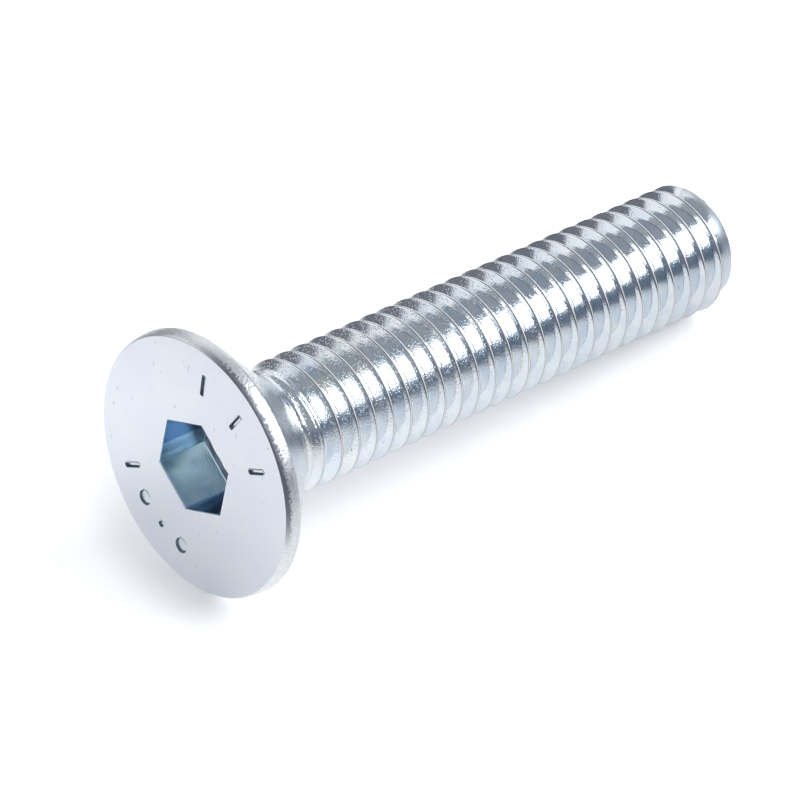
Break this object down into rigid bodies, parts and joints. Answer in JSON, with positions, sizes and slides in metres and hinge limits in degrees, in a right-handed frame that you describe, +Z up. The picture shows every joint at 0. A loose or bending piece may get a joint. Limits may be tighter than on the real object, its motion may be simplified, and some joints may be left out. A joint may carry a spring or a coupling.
{
  "type": "countersunk socket screw",
  "caption": "Fully threaded countersunk screw with a flat head, a hexagonal socket and a bevelled tip, in bright zinc-plated steel.",
  "frame": {"origin": "on the ground under the middle of the lying screw's box", "axes": "+X along the shank from the head to the tip, as seen from above; +Z up. The axis itself falls 6.12 degrees towards the tip"},
  "size_m": [0.0308, 0.012, 0.0119],
  "materials": {
    "zinc": "bright bluish zinc plating over steel"
  },
  "bodies": {
    "root": {"screw": "zinc"}
  },
  "joints": []
}
